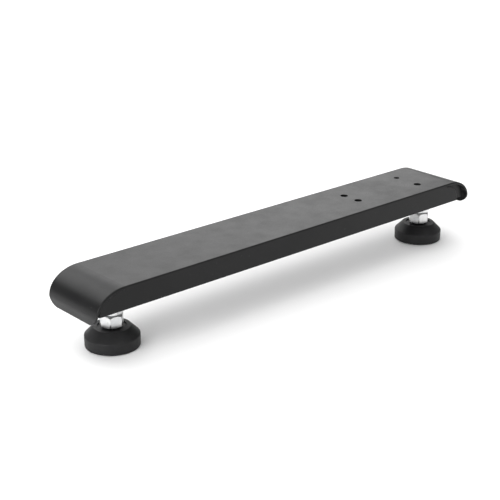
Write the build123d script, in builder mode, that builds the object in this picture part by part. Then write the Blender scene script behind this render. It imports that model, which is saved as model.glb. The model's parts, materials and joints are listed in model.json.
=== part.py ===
from build123d import *
import os
from math import acos, cos, degrees, radians, sin, tan

# Desk foot: a folded steel beam on two screw-adjustable swivel levelling glides.
# Millimetres. X runs along the beam towards the rear end, which carries the column,
# Y to the left, Z up. The origin is on the floor, under the middle of the beam.

# ---- Foot beam ----
LENGTH = 492.3
WIDTH = 72.9
TOP_Z = 70.4
SHEET = 2.5
FLANGE_DEPTH = 21.5
ARRIS = 1.2                 # soft outer edge where the top meets the sides
BEND_LEAN = 10.0            # degrees that each tongue leans back in, past vertical
NOSE_RADIUS = 12.0
SEAM = 0.4                  # gap between the front bend and the flange inside it
HOLLOW_OVERRUN = 8.0        # how far the hollow runs out past the tips

# Each end is bent down over (length along X, depth of the nose, depth of the tip).
FRONT, REAR = -1, 1
BEND = {FRONT: (30.7, 22.5, 32.3), REAR: (29.5, 21.0, 28.1)}

# Both tongues have rounded corners, which are larger on the front one (right, left).
TONGUE_CORNER = 10.0
FRONT_TONGUE_CORNERS = (17.5, 12.0)

# The flanges stop short of the rear bend in a large rounded corner.
REAR_CORNER_RADIUS = 16.8
REAR_CORNER_X = 210.0
REAR_SLIT = 0.2
REAR_SLIT_START = 208.0
REAR_EDGE_ROLL = 0.9
RADIUS_MATCH = 0.01         # how close an edge's radius must be to be picked

# ---- Column joint: pairs of holes as (X, half spacing in Y) ----
FORWARD_PAIR = (98.8, 9.9)
REARWARD_PAIR = (185.4, 14.7)
COLUMN_HOLE = 8.0
LOCATING_HOLE = 6.2
PLATE_X = 139.2
PLATE_LENGTH = 110.0
PLATE_WIDTH = 58.0
PLATE_THICKNESS = 4.0
PLATE_CORNER = 5.0

# ---- Rear gussets ----
GUSSET_SHEET = 2.0
GUSSET_SET_BACK = 4.6
GUSSET_GAP = 0.1
GUSSET_FOOT_X = 222.2
GUSSET_HEAD_X = 213.2
GUSSET_HEAD_Z = 62.6
GUSSET_REAR_X = 240.2
GUSSET_SHOULDER = 9.0

# ---- Glide brackets, nuts and washers ----
GLIDE_X = {FRONT: -205.5, REAR: 208.0}
BRACKET_LENGTH = 26.0
BRACKET_SHEET = 3.0
BRACKET_Z = 58.9            # underside of the bridge
BRACKET_TAB = 9.0
BRACKET_BEND = 4.0
BRACKET_HOLE = 13.0
NUT_FLATS = 19.0
NUT_FACE_STEP = 0.3         # the turned face is this much inside the flats
HEX_CHAMFER = 30.0          # degrees
WELD_NUT_HEIGHT = 10.0
JAM_NUT_HEIGHT = 6.0
JAM_NUT_Z = 31.7
WASHER_Z = 37.9
WASHER_THICKNESS = 2.5
WASHER_INNER_RADIUS = 6.25
WASHER_OUTER_RADIUS = 10.3
WASHER_SPLIT = 1.6

# ---- Levelling stud, ball and socket ----
THREAD_RADIUS = 5.95
THREAD_BORE = 6.0
THREAD_CHAMFER = 1.0
STUD_HEX_Z = 19.5
STUD_HEX_HEIGHT = 11.2
STUD_FLATS = 19.6
STUD_FACE_STEP = 0.6
STUD_TOP_Z = 65.6
NECK_RADIUS = 3.75
NECK_SHOULDER = 5.8         # heights below are measured from the ball's centre
SPIGOT_RADIUS = 3.0
SPIGOT_BORE = 3.05
RIVET_RADIUS = 3.7
RIVET_TOP = -2.6
RIVET_BOTTOM = -4.2
BALL_Z = 8.5
BALL_RADIUS = 7.0
BALL_TOP = 5.6
BALL_BOTTOM = -4.8
RIVET_BORE = 4.0
RIVET_BORE_TOP = -2.3
SOCKET_INNER_RADIUS = 7.3
SOCKET_OUTER_RADIUS = 9.0
SOCKET_HALF_HEIGHT = 5.0

# ---- Glide base and pad ----
BASE_RADIUS = 25.2
BASE_FOOT_RADIUS = 25.0
BASE_SIDE_Z = 10.9
BASE_TOP_RADIUS = 17.2
BASE_TOP_Z = 19.1
BASE_RIM_Z = 0.6
WELL_RADIUS = 13.2
WELL_Z = 18.0
NECK_OPENING = 5.8
CAVITY_RADIUS = 9.3
SHOULDER_ROUND = 1.4
RIM_ROUND = 0.7
EDGE_ROUND = 0.4
PAD_RADIUS = 22.5
PAD_THICKNESS = 2.2
GROOVE_RADII = (9.0, 14.0, 19.0)
GROOVE_WIDTH = 1.6
GROOVE_DEPTH = 0.6

# Turn of each hexagon about Z, in degrees, as its thread leaves it.
STUD_HEX_TURN = {FRONT: 48.0, REAR: 44.0}
JAM_NUT_TURN = {FRONT: 20.0, REAR: 9.6}
WELD_NUT_TURN = 30.0

half_width = WIDTH / 2
flange_inner_y = half_width - SHEET
flange_bottom_z = TOP_Z - FLANGE_DEPTH
weld_nut_z = BRACKET_Z - WELD_NUT_HEIGHT
downwards = (Align.CENTER, Align.MAX)
upper_left = (Align.MIN, Align.MAX)
lower_left = (Align.MIN, Align.MIN)


def save(part, name):
    """Label a finished part and write it to its own STEP file."""
    part.label = name
    export_step(part, f"parts/{name}.step")


def bend_curve(end, inset, overrun):
    """Draw one bent end from the top down to its tip, inset from the outer face."""
    reach, nose_depth, tip_depth = BEND[end]
    centre = (end * (LENGTH / 2 - reach), TOP_Z - nose_depth)
    EllipticalCenterArc(
        centre, reach - inset, nose_depth - inset, start_angle=90, arc_size=-end * 90
    )
    nose = (centre[0] + end * (reach - inset), centre[1])
    curl = JernArc(nose, (0, -1), NOSE_RADIUS - inset, -end * BEND_LEAN)
    curl_drop = NOSE_RADIUS * sin(radians(BEND_LEAN))
    run = (tip_depth - nose_depth - curl_drop) / cos(radians(BEND_LEAN)) + overrun
    straight = Line(curl @ 1, curl @ 1 + (curl % 1) * run)
    return (centre[0], TOP_Z - inset), straight @ 1


def side_view(inset, overrun=0.0):
    """Draw the closed side view of the beam, inset from its outer face."""
    front_top, front_tip = bend_curve(FRONT, inset, overrun)
    rear_top, rear_tip = bend_curve(REAR, inset, overrun)
    Line(front_top, rear_top)
    Line(front_tip, rear_tip)


def column_holes():
    """Cut the four column holes through the part in hand."""
    forward_x, forward_y = FORWARD_PAIR
    rearward_x, rearward_y = REARWARD_PAIR
    with Locations(
        (forward_x, forward_y, TOP_Z),
        (forward_x, -forward_y, TOP_Z),
        (rearward_x, -rearward_y, TOP_Z),
    ):
        Hole(COLUMN_HOLE / 2)
    with Locations((rearward_x, rearward_y, TOP_Z)):
        Hole(LOCATING_HOLE / 2)


def hexagon(x, z, height, turn, flats, face_step):
    """Add a hexagon whose corners are turned off on both faces."""
    corner_radius = flats / 2 / cos(radians(30))
    face_radius = flats / 2 - face_step
    drop = (corner_radius - face_radius) * tan(radians(HEX_CHAMFER))
    with BuildSketch(Plane.XY.offset(z)) as outline:
        with Locations((x, 0)):
            RegularPolygon(flats / 2, 6, major_radius=False, rotation=turn)
    extrude(outline.sketch, amount=height)
    with BuildSketch(Plane((x, 0, z), x_dir=(1, 0, 0), z_dir=(0, -1, 0))) as turned:
        with BuildLine():
            Polyline(
                (0, 0),
                (face_radius, 0),
                (corner_radius, drop),
                (corner_radius, height - drop),
                (face_radius, height),
                (0, height),
                close=True,
            )
        make_face()
    revolve(turned.sketch, axis=Axis((x, 0, 0), (0, 0, 1)), mode=Mode.INTERSECT)


os.makedirs("parts", exist_ok=True)

# Foot beam: a solid with the outer shape is hollowed to sheet thickness, which leaves the
# top and its two bent ends, and the side flanges are then added under the top.
with BuildPart() as foot_beam:
    with BuildSketch(Plane.XZ):
        with BuildLine():
            side_view(0)
        make_face()
    extrude(amount=half_width, both=True)
    long_edges = foot_beam.edges().group_by(SortBy.LENGTH)[-1]
    fillet(long_edges.sort_by(Axis.Z)[:2], TONGUE_CORNER)
    side_edges = foot_beam.faces().filter_by(Axis.Y).edges()
    fillet(side_edges.sort_by(Axis.Z)[2:], ARRIS)
    front_tip_z = TOP_Z - BEND[FRONT][2]
    for side, radius in zip((-1, 1), FRONT_TONGUE_CORNERS):
        with BuildSketch(Plane.YZ) as corner:
            with Locations((side * half_width, front_tip_z)):
                Rectangle(2 * radius, 2 * radius)
            with Locations((side * (half_width - radius), front_tip_z + radius)):
                Circle(radius, mode=Mode.SUBTRACT)
        extrude(corner.sketch, amount=-LENGTH, mode=Mode.SUBTRACT)
    with BuildSketch(Plane.XZ):
        with BuildLine():
            side_view(SHEET, HOLLOW_OVERRUN)
        make_face()
    extrude(amount=WIDTH, both=True, mode=Mode.SUBTRACT)

    # Both flanges follow the inside of the front bend, join the top along its straight
    # length and end at the rear in a free edge with a large rounded corner.
    front_x = BEND[FRONT][0] - LENGTH / 2
    slit_z = TOP_Z - SHEET - REAR_SLIT
    with BuildSketch(Plane.XZ.offset(flange_inner_y), Plane.XZ.offset(-half_width)):
        with BuildLine():
            side_view(SHEET + SEAM)
        make_face()
        with Locations((REAR_CORNER_X, TOP_Z)):
            Rectangle(LENGTH, TOP_Z, align=upper_left, mode=Mode.SUBTRACT)
        with Locations((REAR_CORNER_X, slit_z - REAR_CORNER_RADIUS)):
            Circle(REAR_CORNER_RADIUS)
        with Locations((front_x, TOP_Z - SHEET / 2)):
            Rectangle(REAR_SLIT_START - front_x, SHEET, align=upper_left)
        with Locations((REAR_SLIT_START, slit_z)):
            Rectangle(LENGTH, SHEET, align=lower_left, mode=Mode.SUBTRACT)
        with Locations((0, flange_bottom_z)):
            Rectangle(2 * LENGTH, TOP_Z, align=downwards, mode=Mode.SUBTRACT)
    extrude(amount=SHEET)
    rear_arcs = foot_beam.edges().filter_by(GeomType.CIRCLE).filter_by(
        lambda edge: abs(edge.radius - REAR_CORNER_RADIUS) < RADIUS_MATCH
    )
    fillet(rear_arcs.group_by(Axis.Y)[0] + rear_arcs.group_by(Axis.Y)[-1], REAR_EDGE_ROLL)
    column_holes()
save(foot_beam.part, "foot_beam")

# Column plate: doubles the top where the column is bolted on.
with BuildPart() as column_plate:
    with BuildSketch(Plane.XY.offset(TOP_Z - SHEET - PLATE_THICKNESS)):
        with Locations((PLATE_X, 0)):
            RectangleRounded(PLATE_LENGTH, PLATE_WIDTH, PLATE_CORNER)
    extrude(amount=PLATE_THICKNESS)
    column_holes()
save(column_plate.part, "column_plate")

# Rear gussets: two webs set back from the flanges, which stiffen the open rear bend. Each has
# a head that reaches forward over the glide bracket and a rear edge clear of the tongue.
gusset_outer_y = half_width - GUSSET_SET_BACK
gusset_planes = {
    "rear_gusset_right": Plane.XZ.offset(gusset_outer_y - GUSSET_SHEET),
    "rear_gusset_left": Plane.XZ.offset(-gusset_outer_y),
}
for name, plane in gusset_planes.items():
    with BuildPart() as gusset:
        with BuildSketch(plane) as gusset_outline:
            with BuildLine():
                side_view(SHEET + GUSSET_GAP)
            make_face()
            with Locations((GUSSET_REAR_X, 0)):
                Rectangle(LENGTH, TOP_Z, align=lower_left, mode=Mode.SUBTRACT)
            shoulder = gusset_outline.vertices().sort_by(Axis.X)[-2:].sort_by(Axis.Y)[-1]
            fillet(shoulder, GUSSET_SHOULDER)
            with Locations((GUSSET_FOOT_X, GUSSET_HEAD_Z)):
                Rectangle(2 * LENGTH, TOP_Z, align=(Align.MAX, Align.MAX), mode=Mode.SUBTRACT)
            with Locations((GUSSET_HEAD_X, 0)):
                Rectangle(2 * LENGTH, TOP_Z, align=(Align.MAX, Align.MIN), mode=Mode.SUBTRACT)
            with Locations((0, flange_bottom_z)):
                Rectangle(2 * LENGTH, TOP_Z, align=downwards, mode=Mode.SUBTRACT)
        extrude(gusset_outline.sketch, amount=GUSSET_SHEET)
    save(gusset.part, name)

# The glide hardware is the same at both ends, apart from how far each thread is turned.
for end, side in ((FRONT, "front"), (REAR, "rear")):
    x = GLIDE_X[end]
    axis = Axis((x, 0, 0), (0, 0, 1))
    section = Plane((x, 0, 0), x_dir=(1, 0, 0), z_dir=(0, -1, 0))
    ball_section = Plane((x, 0, BALL_Z), x_dir=(1, 0, 0), z_dir=(0, -1, 0))

    # Bracket: a bridge between the flanges with a tab down each of them.
    with BuildPart() as bracket:
        with BuildSketch(Plane.YZ.offset(x)):
            with Locations((0, BRACKET_Z + BRACKET_SHEET)):
                outer = Rectangle(2 * flange_inner_y, BRACKET_TAB + BRACKET_SHEET, align=downwards)
            fillet(outer.vertices().group_by(Axis.Y)[-1], BRACKET_BEND)
            with Locations((0, BRACKET_Z)):
                Rectangle(
                    2 * (flange_inner_y - BRACKET_SHEET),
                    BRACKET_TAB,
                    align=downwards,
                    mode=Mode.SUBTRACT,
                )
        extrude(amount=BRACKET_LENGTH / 2, both=True)
        with Locations((x, 0, BRACKET_Z + BRACKET_SHEET)):
            Hole(BRACKET_HOLE / 2)
    save(bracket.part, f"{side}_glide_bracket")

    with BuildPart() as weld_nut:
        hexagon(x, weld_nut_z, WELD_NUT_HEIGHT, WELD_NUT_TURN, NUT_FLATS, NUT_FACE_STEP)
        with Locations((x, 0, BRACKET_Z)):
            Hole(THREAD_BORE)
    save(weld_nut.part, f"{side}_weld_nut")

    with BuildPart() as jam_nut:
        hexagon(x, JAM_NUT_Z, JAM_NUT_HEIGHT, JAM_NUT_TURN[end], NUT_FLATS, NUT_FACE_STEP)
        with Locations((x, 0, JAM_NUT_Z + JAM_NUT_HEIGHT)):
            Hole(THREAD_BORE)
    save(jam_nut.part, f"{side}_jam_nut")

    # Spring washer: a ring with one split.
    with BuildPart() as lock_washer:
        with BuildSketch(Plane.XY.offset(WASHER_Z)):
            with Locations((x, 0)):
                Circle(WASHER_OUTER_RADIUS)
                Circle(WASHER_INNER_RADIUS, mode=Mode.SUBTRACT)
            with Locations((x, WASHER_OUTER_RADIUS)):
                Rectangle(WASHER_SPLIT, WASHER_OUTER_RADIUS, mode=Mode.SUBTRACT)
        extrude(amount=WASHER_THICKNESS)
    save(lock_washer.part, f"{side}_lock_washer")

    # Stud: hexagon, threaded shank above it, and below it a neck and a spigot whose end is
    # riveted over inside the ball.
    with BuildPart() as stud:
        hexagon(
            x, STUD_HEX_Z, STUD_HEX_HEIGHT, STUD_HEX_TURN[end], STUD_FLATS, STUD_FACE_STEP
        )
        hex_middle = STUD_HEX_Z + STUD_HEX_HEIGHT / 2
        with BuildSketch(section):
            with BuildLine():
                Polyline(
                    (0, BALL_Z + RIVET_BOTTOM),
                    (RIVET_RADIUS, BALL_Z + RIVET_BOTTOM),
                    (RIVET_RADIUS, BALL_Z + RIVET_TOP),
                    (SPIGOT_RADIUS, BALL_Z + RIVET_TOP),
                    (SPIGOT_RADIUS, BALL_Z + NECK_SHOULDER),
                    (NECK_RADIUS, BALL_Z + NECK_SHOULDER),
                    (NECK_RADIUS, hex_middle),
                    (THREAD_RADIUS, hex_middle),
                    (THREAD_RADIUS, STUD_TOP_Z - THREAD_CHAMFER),
                    (THREAD_RADIUS - THREAD_CHAMFER, STUD_TOP_Z),
                    (0, STUD_TOP_Z),
                    close=True,
                )
            make_face()
        revolve(axis=axis)
    save(stud.part, f"{side}_levelling_stud")

    # Ball: flat above and below, bored for the spigot and its riveted end.
    with BuildPart() as ball:
        with BuildSketch(ball_section):
            Circle(BALL_RADIUS)
            with Locations((SPIGOT_BORE, BALL_BOTTOM)):
                Rectangle(BALL_RADIUS, BALL_TOP - BALL_BOTTOM, align=lower_left, mode=Mode.INTERSECT)
            with Locations((0, BALL_BOTTOM)):
                Rectangle(
                    RIVET_BORE, RIVET_BORE_TOP - BALL_BOTTOM, align=lower_left, mode=Mode.SUBTRACT
                )
        revolve(axis=axis)
    save(ball.part, f"{side}_ball")

    # Socket: a ring with a spherical inside and outside, so that the base tilts every way.
    with BuildPart() as socket:
        with BuildSketch(ball_section):
            Circle(SOCKET_OUTER_RADIUS)
            Circle(SOCKET_INNER_RADIUS, mode=Mode.SUBTRACT)
            with Locations((0, -SOCKET_HALF_HEIGHT)):
                Rectangle(
                    SOCKET_OUTER_RADIUS,
                    2 * SOCKET_HALF_HEIGHT,
                    align=lower_left,
                    mode=Mode.INTERSECT,
                )
        revolve(axis=axis)
    save(socket.part, f"{side}_ball_socket")

    # Base: a moulded dome with a well for the hexagon and a round cavity for the socket.
    with BuildPart() as base:
        with BuildSketch(section):
            with BuildLine():
                roof_angle = degrees(acos(NECK_OPENING / CAVITY_RADIUS))
                roof = CenterArc((0, BALL_Z), CAVITY_RADIUS, 0, roof_angle)
                Polyline(
                    roof @ 1,
                    (NECK_OPENING, WELL_Z),
                    (WELL_RADIUS, WELL_Z),
                    (WELL_RADIUS, BASE_TOP_Z),
                    (BASE_TOP_RADIUS, BASE_TOP_Z),
                    (BASE_RADIUS, BASE_SIDE_Z),
                    (BASE_FOOT_RADIUS, BASE_RIM_Z),
                    (PAD_RADIUS, BASE_RIM_Z),
                    (PAD_RADIUS, PAD_THICKNESS),
                    (CAVITY_RADIUS, PAD_THICKNESS),
                    roof @ 0,
                )
            make_face()
        revolve(axis=axis)
        rings = base.edges().filter_by(GeomType.CIRCLE)
        fillet(rings.sort_by(SortBy.RADIUS)[-1], SHOULDER_ROUND)
        rims = base.edges().filter_by(GeomType.CIRCLE).group_by(Axis.Z)[-1]
        fillet(rims.sort_by(SortBy.RADIUS)[-1], RIM_ROUND)
        rims = base.edges().filter_by(GeomType.CIRCLE).group_by(Axis.Z)[-1]
        fillet(rims.sort_by(SortBy.RADIUS)[0], EDGE_ROUND)
        rims = base.edges().filter_by(GeomType.CIRCLE).group_by(Axis.Z)[0]
        fillet(rims.sort_by(SortBy.RADIUS)[-1], EDGE_ROUND)
    save(base.part, f"{side}_glide_base")

    # Pad: a rubber disc with ring grooves in its face.
    with BuildPart() as pad:
        with BuildSketch(section):
            Rectangle(PAD_RADIUS, PAD_THICKNESS, align=lower_left)
            with Locations(*[(radius, 0) for radius in GROOVE_RADII]):
                Rectangle(
                    GROOVE_WIDTH,
                    GROOVE_DEPTH,
                    align=(Align.CENTER, Align.MIN),
                    mode=Mode.SUBTRACT,
                )
        revolve(axis=axis)
        rings = pad.edges().filter_by(GeomType.CIRCLE).group_by(Axis.Z)[0]
        chamfer(rings.sort_by(SortBy.RADIUS)[-1], EDGE_ROUND)
    save(pad.part, f"{side}_anti_slip_pad")
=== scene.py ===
import json
import math

import bmesh
import bpy
from mathutils import Matrix, Vector


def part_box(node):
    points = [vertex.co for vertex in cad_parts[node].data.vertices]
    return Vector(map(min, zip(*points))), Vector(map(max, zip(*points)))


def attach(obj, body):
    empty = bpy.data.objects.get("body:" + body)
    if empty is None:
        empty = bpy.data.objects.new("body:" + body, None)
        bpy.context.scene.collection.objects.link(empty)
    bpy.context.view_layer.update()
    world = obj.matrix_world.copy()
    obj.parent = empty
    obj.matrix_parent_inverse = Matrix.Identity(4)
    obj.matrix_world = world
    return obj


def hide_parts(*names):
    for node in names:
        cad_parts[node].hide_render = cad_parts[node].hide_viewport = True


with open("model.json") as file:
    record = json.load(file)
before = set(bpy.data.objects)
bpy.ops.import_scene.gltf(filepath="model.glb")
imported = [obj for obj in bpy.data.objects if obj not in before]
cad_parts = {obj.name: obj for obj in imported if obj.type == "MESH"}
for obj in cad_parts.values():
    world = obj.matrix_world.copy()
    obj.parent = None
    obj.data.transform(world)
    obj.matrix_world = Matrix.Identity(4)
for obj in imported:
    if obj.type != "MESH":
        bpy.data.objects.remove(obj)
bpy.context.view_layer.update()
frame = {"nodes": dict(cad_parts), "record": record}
NODES = frame["nodes"]
SIDES = ("front", "rear")

MM = 0.001

# The M12 thread of each stud
PITCH = 1.75 * MM
THREAD_CREST = 5.95 * MM
THREAD_ROOT = 5.0 * MM
THREAD_COLUMNS = 48
CREST_SHARE = 0.14          # flat crest and flat root, as shares of the pitch
ROOT_SHARE = 0.16
THREAD_START_DROP = 1.0 * MM  # how far below the jam nut the thread starts
THREAD_JOIN = 0.2 * MM      # how far the plain shank runs up into the thread
MERGE_DISTANCE = 1e-6
RIM_TOLERANCE = 1e-7
SHARP_ANGLE = 28            # degrees

# Weld beads under the foot
BEAD_RADIUS = 1.3 * MM
BEAD_PITCH = 1.5 * MM
BEAD_STEP = 0.3 * MM
BEAD_TAPER = 1.8 * MM
BEAD_RIPPLE = 0.10
BEAD_TIP = 0.2
BEAD_SIDES = 12
BEAD_REFERENCE = Vector((0.3, 0.5, 0.8))
TAB_BEAD_INSET = 1.0 * MM
TAB_BEAD_LENGTH = 7.0 * MM
NUT_BEAD_STEP = 0.9 * MM
NUT_BEAD_ANGLES = (90, 210, 330)
NUT_BEAD_HALF = 24          # degrees to each side of its angle
PLATE_BEAD_SHARES = (0.22, 0.78)  # places along the plate, as shares of its length
PLATE_BEAD_HALF = 10 * MM
GUSSET_BEAD_INSET = 1.5 * MM
GUSSET_BEAD_LENGTH = 8.0 * MM
GUSSET_BEAD_DROP = 0.3 * MM

# The camera, with its angles in radians, and the floor
CAMERA_PLACE = (-0.76485, -0.80495, 0.46535)
CAMERA_YAW = 0.732386
CAMERA_PITCH = 0.367537
CAMERA_ROLL = 0.0037976
CAMERA_LENS = 86.59
CAMERA_SENSOR = 36.0
CAMERA_CLIP = 0.01
FLOOR_REACH = 8.0
FLOOR_Z = -0.0002

scene = bpy.context.scene
scene.view_settings.view_transform = "Standard"
scene.view_settings.look = "None"


# ---------------------------------------------------------------- materials

class Finish:
    """A node material on object coordinates, so every pattern keeps its real size."""

    def __init__(self, name):
        self.material = bpy.data.materials.new(name)
        self.material.use_nodes = True
        self.nodes = self.material.node_tree.nodes
        self.links = self.material.node_tree.links
        self.shader = self.nodes["Principled BSDF"]
        self.coords = self.nodes.new("ShaderNodeTexCoord").outputs["Object"]
        self.height = None

    def set(self, **values):
        for key, value in values.items():
            self.shader.inputs[key.replace("_", " ")].default_value = value

    def stretched(self, x, y, z):
        mapping = self.nodes.new("ShaderNodeMapping")
        mapping.inputs["Scale"].default_value = (x, y, z)
        self.links.new(self.coords, mapping.inputs["Vector"])
        return mapping.outputs["Vector"]

    def noise(self, size, detail=3.0, roughness=0.5, vector=None):
        """Noise whose blobs are about size metres across."""
        node = self.nodes.new("ShaderNodeTexNoise")
        node.inputs["Scale"].default_value = 1 / size
        node.inputs["Detail"].default_value = detail
        node.inputs["Roughness"].default_value = roughness
        self.links.new(vector or self.coords, node.inputs["Vector"])
        return node.outputs["Fac"]

    def cells(self, size):
        """Distance from the middle of cells about size metres across."""
        node = self.nodes.new("ShaderNodeTexVoronoi")
        node.inputs["Scale"].default_value = 1 / size
        self.links.new(self.coords, node.inputs["Vector"])
        return node.outputs["Distance"]

    def ramp(self, value, low, high, out_low=0.0, out_high=1.0):
        node = self.nodes.new("ShaderNodeMapRange")
        for key, number in zip(
            ("From Min", "From Max", "To Min", "To Max"), (low, high, out_low, out_high)
        ):
            node.inputs[key].default_value = number
        self.links.new(value, node.inputs["Value"])
        return node.outputs["Result"]

    def math(self, operation, a, b):
        node = self.nodes.new("ShaderNodeMath")
        node.operation = operation
        for socket, value in zip(node.inputs, (a, b)):
            if isinstance(value, float):
                socket.default_value = value
            else:
                self.links.new(value, socket)
        return node.outputs["Value"]

    def blend(self, factor, first, second):
        """Colour first where factor is 0, second where it is 1."""
        node = self.nodes.new("ShaderNodeMix")
        node.data_type = "RGBA"
        self.links.new(factor, node.inputs["Factor"])
        for socket, colour in ((node.inputs[6], first), (node.inputs[7], second)):
            if isinstance(colour, tuple):
                socket.default_value = (*colour, 1.0)
            else:
                self.links.new(colour, socket)
        return node.outputs[2]

    def mottle(self, size, detail, first, second):
        """Two colours that fade into each other in blobs."""
        return self.blend(self.band(size, detail), first, second)

    def band(self, size, detail, low=0.0, high=1.0):
        """A number that wanders between low and high in blobs."""
        return self.ramp(self.noise(size, detail), 0.3, 0.7, low, high)

    def edge(self, radius):
        """1 along sharp edges, 0 on flat or smoothly curved faces."""
        bevel = self.nodes.new("ShaderNodeBevel")
        bevel.samples = 4
        bevel.inputs["Radius"].default_value = radius
        geometry = self.nodes.new("ShaderNodeNewGeometry")
        dot = self.nodes.new("ShaderNodeVectorMath")
        dot.operation = "DOT_PRODUCT"
        self.links.new(bevel.outputs["Normal"], dot.inputs[0])
        self.links.new(geometry.outputs["Normal"], dot.inputs[1])
        return self.ramp(dot.outputs["Value"], 0.995, 0.9)

    def colour(self, socket):
        self.links.new(socket, self.shader.inputs["Base Color"])

    def rough(self, socket):
        self.links.new(socket, self.shader.inputs["Roughness"])

    def bump(self, socket, depth):
        """Adds one layer of relief, depth metres from low to high."""
        node = self.nodes.new("ShaderNodeBump")
        node.inputs["Strength"].default_value = 1.0
        node.inputs["Distance"].default_value = depth
        self.links.new(socket, node.inputs["Height"])
        if self.height:
            self.links.new(self.height, node.inputs["Normal"])
        self.height = node.outputs["Normal"]
        self.links.new(self.height, self.shader.inputs["Normal"])


def powder_coat():
    f = Finish("satin_powder_coat")
    f.set(Metallic=0.0, IOR=1.29)
    body = f.blend(
        f.ramp(f.noise(0.05, 4.0), 0.35, 0.65), (0.0040, 0.0040, 0.0043), (0.0062, 0.0062, 0.0065)
    )
    speck = f.ramp(f.noise(0.0021, 1.0), 0.74, 0.80)
    body = f.blend(speck, body, (0.018, 0.018, 0.018))
    # Painted highlight along sharp edges: a lighter colour there, broken into patches by noise
    edge = f.math("MULTIPLY", f.edge(0.0006), f.ramp(f.noise(0.004, 3.0), 0.35, 0.7))
    f.colour(f.blend(edge, body, (0.060, 0.060, 0.062)))
    rough = f.band(0.016, 4.0, 0.27, 0.35)
    f.rough(f.math("ADD", rough, f.band(0.0012, 2.0, 0.0, 0.06)))
    f.bump(f.noise(0.0016, 2.0), 9e-6)
    f.bump(f.noise(0.00045, 1.0), 4e-6)
    f.bump(f.noise(0.045, 1.0), 40e-6)
    return f.material


def zinc_plate():
    f = Finish("bright_zinc")
    f.set(Metallic=1.0)
    tone = f.mottle(0.006, 4.0, (0.68, 0.69, 0.70), (0.79, 0.79, 0.78))
    stain = f.ramp(f.noise(0.0024, 5.0, 0.65), 0.58, 0.72)
    tone = f.blend(stain, tone, (0.60, 0.60, 0.58))
    f.colour(f.blend(f.edge(0.0003), tone, (0.93, 0.93, 0.93)))
    streak = f.noise(0.0007, 3.0, vector=f.stretched(1.0, 1.0, 0.12))
    rough = f.ramp(streak, 0.3, 0.7, 0.30, 0.40)
    f.rough(f.math("ADD", rough, f.ramp(stain, 0.0, 1.0, 0.0, 0.12)))
    f.bump(streak, 6e-6)
    f.bump(f.noise(0.0035, 2.0), 25e-6)
    return f.material


def spring_steel():
    f = Finish("zinc_spring_steel")
    f.set(Metallic=1.0)
    tone = f.mottle(0.003, 4.0, (0.50, 0.50, 0.51), (0.62, 0.62, 0.61))
    f.colour(f.blend(f.edge(0.0003), tone, (0.74, 0.74, 0.74)))
    f.rough(f.band(0.0012, 4.0, 0.24, 0.40))
    f.bump(f.noise(0.0008, 3.0), 8e-6)
    return f.material


def turned_steel():
    f = Finish("turned_steel")
    f.set(Metallic=1.0)
    f.colour(f.mottle(0.004, 4.0, (0.55, 0.55, 0.56), (0.68, 0.68, 0.67)))
    rings = f.noise(0.0003, 2.0, vector=f.stretched(0.03, 0.03, 1.0))
    f.rough(f.ramp(rings, 0.3, 0.7, 0.16, 0.30))
    f.bump(rings, 4e-6)
    return f.material


def nylon():
    f = Finish("natural_nylon")
    f.set(Metallic=0.0, IOR=1.53, Subsurface_Weight=0.15, Subsurface_Scale=0.002)
    tone = f.mottle(0.005, 3.0, (0.66, 0.63, 0.54), (0.76, 0.74, 0.67))
    f.colour(f.blend(f.edge(0.0004), tone, (0.84, 0.82, 0.77)))
    f.rough(f.band(0.002, 3.0, 0.38, 0.50))
    f.bump(f.noise(0.0006, 3.0), 10e-6)
    return f.material


def black_polymer():
    f = Finish("moulded_black_polymer")
    f.set(Metallic=0.0, IOR=1.34)
    tone = f.mottle(0.012, 4.0, (0.0085, 0.0085, 0.0090), (0.0125, 0.0125, 0.0130))
    f.colour(f.blend(f.edge(0.0006), tone, (0.014, 0.014, 0.015)))
    f.rough(f.band(0.004, 4.0, 0.46, 0.58))
    f.bump(f.cells(0.0006), 14e-6)
    f.bump(f.noise(0.007, 2.0), 40e-6)
    return f.material


def rubber():
    f = Finish("matt_rubber")
    f.set(Metallic=0.0, IOR=1.45)
    tone = f.mottle(0.008, 5.0, (0.010, 0.010, 0.010), (0.022, 0.021, 0.020))
    f.colour(f.blend(f.edge(0.0005), tone, (0.035, 0.034, 0.033)))
    f.rough(f.band(0.003, 4.0, 0.70, 0.86))
    f.bump(f.noise(0.0005, 4.0), 25e-6)
    return f.material


FINISHES = {
    "powder_coat": powder_coat(),
    "zinc_plate": zinc_plate(),
    "spring_steel": spring_steel(),
    "bright_steel": turned_steel(),
    "nylon": nylon(),
    "black_polymer": black_polymer(),
    "rubber": rubber(),
}
SLOT_OF = {part["node"]: part["material_slot"] for part in frame["record"]["subparts"]}

for node_name, node in NODES.items():
    for place in node.material_slots:
        place.material = FINISHES[SLOT_OF[node_name]]


# ------------------------------------------------------------------- pieces

def add_piece(name, mesh, body, slot):
    piece = bpy.data.objects.new(name, mesh)
    scene.collection.objects.link(piece)
    mesh.materials.clear()
    mesh.materials.append(FINISHES[slot])
    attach(piece, body)
    return piece


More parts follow.
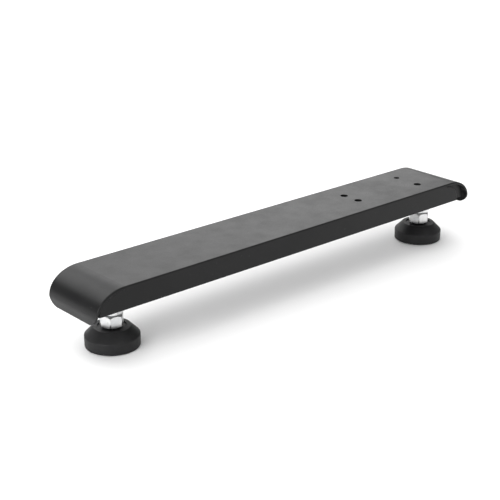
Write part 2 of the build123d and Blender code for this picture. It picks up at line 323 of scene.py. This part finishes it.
def thread_mesh(made, centre, bottom, top):
    """A right-hand 60 degree thread as one closed skin, with a chamfered tip."""
    flank = (1 - CREST_SHARE - ROOT_SHARE) / 2
    profile = (
        (0.0, THREAD_ROOT),
        (ROOT_SHARE, THREAD_ROOT),
        (ROOT_SHARE + flank, THREAD_CREST),
        (ROOT_SHARE + flank + CREST_SHARE, THREAD_CREST),
    )
    turns = math.ceil((top - bottom) / PITCH) + 2
    columns = []
    for i in range(THREAD_COLUMNS):
        angle = math.tau * i / THREAD_COLUMNS
        column = []
        for turn in range(-1, turns):
            for share, radius in profile:
                z = bottom + PITCH * (turn - 1 + share + i / THREAD_COLUMNS)
                height = min(max(z, bottom), top)
                limit = min(THREAD_ROOT + max(top - height, 0.0), THREAD_CREST)
                r = THREAD_ROOT if height != z else min(radius, limit)
                column.append(made.verts.new((
                    centre.x + r * math.cos(angle),
                    centre.y + r * math.sin(angle),
                    height,
                )))
        columns.append(column)
    step = len(profile)
    for i, column in enumerate(columns):
        last = i == THREAD_COLUMNS - 1
        other = columns[0] if last else columns[i + 1]
        shift = step if last else 0
        for k in range(len(column) - 1 - shift):
            made.faces.new((column[k], other[k + shift], other[k + 1 + shift], column[k + 1]))


def build_stud(side):
    """The stud's own CAD solid up to the top of its hexagon, then a real thread."""
    source = NODES[f"{side}_levelling_stud"]
    low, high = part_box(source.name)
    centre = (low + high) / 2
    jam_low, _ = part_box(f"{side}_jam_nut")
    start = jam_low.z - THREAD_START_DROP
    made = bmesh.new()
    made.from_mesh(source.data)
    bmesh.ops.remove_doubles(made, verts=made.verts, dist=MERGE_DISTANCE)
    cut = bmesh.ops.bisect_plane(
        made,
        geom=made.verts[:] + made.edges[:] + made.faces[:],
        plane_co=(0, 0, start + THREAD_JOIN),
        plane_no=(0, 0, 1),
        clear_outer=True,
    )
    rim = [e for e in cut["geom_cut"] if isinstance(e, bmesh.types.BMEdge)]
    bmesh.ops.contextual_create(made, geom=rim)
    thread = bmesh.new()
    thread_mesh(thread, centre, start, high.z)
    bmesh.ops.remove_doubles(thread, verts=thread.verts, dist=MERGE_DISTANCE)
    bmesh.ops.dissolve_degenerate(thread, edges=thread.edges, dist=MERGE_DISTANCE)
    for z in (start, high.z):
        ring = [
            e for e in thread.edges if all(abs(v.co.z - z) < RIM_TOLERANCE for v in e.verts)
        ]
        bmesh.ops.contextual_create(thread, geom=ring)
    bmesh.ops.recalc_face_normals(thread, faces=thread.faces)
    spare = bpy.data.meshes.new("thread")
    thread.to_mesh(spare)
    thread.free()
    made.from_mesh(spare)
    bpy.data.meshes.remove(spare)
    mesh = bpy.data.meshes.new(f"{side}_threaded_stud")
    made.to_mesh(mesh)
    made.free()
    mesh.polygons.foreach_set("use_smooth", [True] * len(mesh.polygons))
    mesh.set_sharp_from_angle(angle=math.radians(SHARP_ANGLE))
    stud = add_piece(f"{side}_threaded_stud", mesh, f"{side}_stud", "zinc_plate")
    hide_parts(source.name)


def straight(start, end):
    """Points from start to end, close enough together to carry the ripples of a bead."""
    count = math.ceil((end - start).length / BEAD_STEP)
    return [start.lerp(end, k / count) for k in range(count + 1)]


def arc(centre, radius, first, last):
    """Points along an arc about the vertical, between two angles in degrees."""
    count = math.ceil(math.radians(last - first) * radius / BEAD_STEP)
    angles = [math.radians(first + (last - first) * k / count) for k in range(count + 1)]
    return [centre + Vector((math.cos(a), math.sin(a), 0.0)) * radius for a in angles]


def add_bead(made, path):
    """A weld bead: a rippled closed tube along the path, rounded off at both ends."""
    travelled = [0.0]
    for a, b in zip(path, path[1:]):
        travelled.append(travelled[-1] + (b - a).length)
    rings = []
    for i, point in enumerate(path):
        forward = (path[min(i + 1, len(path) - 1)] - path[max(i - 1, 0)]).normalized()
        across = forward.cross(BEAD_REFERENCE).normalized()
        over = across.cross(forward)
        from_end = min(travelled[i], travelled[-1] - travelled[i])
        missing = 1.0 - min(from_end / BEAD_TAPER, 1.0)
        swell = max(math.sqrt(1.0 - missing**2), BEAD_TIP)
        ripple = 1.0 + BEAD_RIPPLE * math.cos(math.tau * travelled[i] / BEAD_PITCH)
        reach = BEAD_RADIUS * swell * ripple
        ring = []
        for k in range(BEAD_SIDES):
            angle = math.tau * k / BEAD_SIDES
            ring.append(made.verts.new(
                point + (across * math.cos(angle) + over * math.sin(angle)) * reach
            ))
        rings.append(ring)
    for first, second in zip(rings, rings[1:]):
        for k in range(BEAD_SIDES):
            following = (k + 1) % BEAD_SIDES
            made.faces.new((first[k], first[following], second[following], second[k]))
    made.faces.new(rings[0])
    made.faces.new(rings[-1])


def build_welds(name, paths):
    """All the beads of one part, as one piece of the welded frame."""
    made = bmesh.new()
    for path in paths:
        add_bead(made, path)
    bmesh.ops.recalc_face_normals(made, faces=made.faces)
    mesh = bpy.data.meshes.new(name)
    made.to_mesh(mesh)
    made.free()
    mesh.polygons.foreach_set("use_smooth", [True] * len(mesh.polygons))
    add_piece(name, mesh, "root", "powder_coat")


def bracket_welds(side):
    """Beads down both edges of each tab, and three round the weld nut."""
    low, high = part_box(f"{side}_glide_bracket")
    nut_low, nut_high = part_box(f"{side}_weld_nut")
    paths = []
    for x in (low.x, high.x):
        for y in (low.y, high.y):
            foot = Vector((x, y, low.z + TAB_BEAD_INSET))
            paths.append(straight(foot, foot + Vector((0.0, 0.0, TAB_BEAD_LENGTH))))
    centre = (nut_low + nut_high) / 2
    centre.z = nut_high.z
    radius = (nut_high.x - nut_low.x) / 2 + NUT_BEAD_STEP
    for middle in NUT_BEAD_ANGLES:
        paths.append(arc(centre, radius, middle - NUT_BEAD_HALF, middle + NUT_BEAD_HALF))
    return paths


def plate_welds():
    """Two stitch welds along each long edge of the column plate."""
    low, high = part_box("column_plate")
    paths = []
    for y in (low.y, high.y):
        for share in PLATE_BEAD_SHARES:
            middle = Vector((low.x + (high.x - low.x) * share, y, high.z))
            half = Vector((PLATE_BEAD_HALF, 0.0, 0.0))
            paths.append(straight(middle - half, middle + half))
    return paths


def gusset_welds():
    """One bead along the inner side of each gusset's head, under the top."""
    paths = []
    for name, face in (("rear_gusset_left", 0), ("rear_gusset_right", 1)):
        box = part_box(name)
        start = Vector((box[0].x + GUSSET_BEAD_INSET, box[face].y, box[1].z))
        paths.append(straight(start, start + Vector((GUSSET_BEAD_LENGTH, 0.0, -GUSSET_BEAD_DROP))))
    return paths


for side in SIDES:
    build_stud(side)
for side in SIDES:
    build_welds(f"{side}_bracket_welds", bracket_welds(side))
build_welds("column_plate_welds", plate_welds())
build_welds("gusset_welds", gusset_welds())


# -------------------------------------------------------------------- stage

def pale_floor():
    f = Finish("pale_floor")
    f.set(Metallic=0.0, Roughness=0.85)
    f.colour(f.mottle(0.4, 2.0, (0.86, 0.86, 0.86), (0.88, 0.88, 0.88)))
    return f.material


def add_floor():
    mesh = bpy.data.meshes.new("floor")
    corners = [
        (x * FLOOR_REACH, y * FLOOR_REACH, FLOOR_Z) for x, y in ((-1, -1), (1, -1), (1, 1), (-1, 1))
    ]
    mesh.from_pydata(corners, [], [(0, 1, 2, 3)])
    mesh.materials.append(pale_floor())
    floor = bpy.data.objects.new("floor", mesh)
    scene.collection.objects.link(floor)


def add_light(name, place, target, size, power, spread=180):
    """A rectangular light at place that faces target, with its spread in degrees."""
    data = bpy.data.lights.new(name, "AREA")
    data.shape = "RECTANGLE"
    data.size, data.size_y = size
    data.energy = power
    data.spread = math.radians(spread)
    light = bpy.data.objects.new(name, data)
    scene.collection.objects.link(light)
    light.location = place
    light.rotation_euler = (Vector(target) - Vector(place)).to_track_quat("-Z", "Y").to_euler()


def add_camera():
    """The camera looks along yaw, from +Y towards +X, and down by pitch."""
    level = math.cos(CAMERA_PITCH)
    forward = Vector((
        math.sin(CAMERA_YAW) * level,
        math.cos(CAMERA_YAW) * level,
        -math.sin(CAMERA_PITCH),
    ))
    right = Vector((math.cos(CAMERA_YAW), -math.sin(CAMERA_YAW), 0.0))
    up = right.cross(forward)
    across = right * math.cos(CAMERA_ROLL) + up * math.sin(CAMERA_ROLL)
    over = up * math.cos(CAMERA_ROLL) - right * math.sin(CAMERA_ROLL)
    data = bpy.data.cameras.new("camera")
    data.sensor_width = CAMERA_SENSOR
    data.lens = CAMERA_LENS
    data.clip_start = CAMERA_CLIP
    camera = bpy.data.objects.new("camera", data)
    scene.collection.objects.link(camera)
    turn = Matrix((across, over, -forward)).transposed()
    camera.matrix_world = Matrix.Translation(CAMERA_PLACE) @ turn.to_4x4()
    scene.camera = camera


def add_world(strength):
    world = bpy.data.worlds.new("studio")
    world.use_nodes = True
    background = world.node_tree.nodes["Background"]
    background.inputs["Color"].default_value = (1.0, 1.0, 1.0, 1.0)
    background.inputs["Strength"].default_value = strength
    scene.world = world


add_floor()
add_world(0.48)
add_light("overhead", (-0.1, -0.1, 2.2), (0, 0, 0), (3.0, 3.0), 49.0)
add_light("backdrop", (1.42, 2.48, 1.15), (0, 0, 0.05), (2.8, 1.5), 18.6)
add_light("key", (-1.6, -1.5, 1.5), (0, 0, 0.03), (1.2, 1.2), 10.0)
add_light("rear_left", (-0.5, 1.95, 1.7), (-0.24, 0, 0.05), (1.9, 1.2), 4.9, 90)
add_light("left_low", (-1.5, -0.35, 0.55), (-0.2, 0, 0.02), (0.8, 0.5), 12.0)
add_light("back_floor", (2.2, 2.4, 2.4), (2.2, 2.4, 0.0), (2.5, 2.5), 32.0)
add_camera()
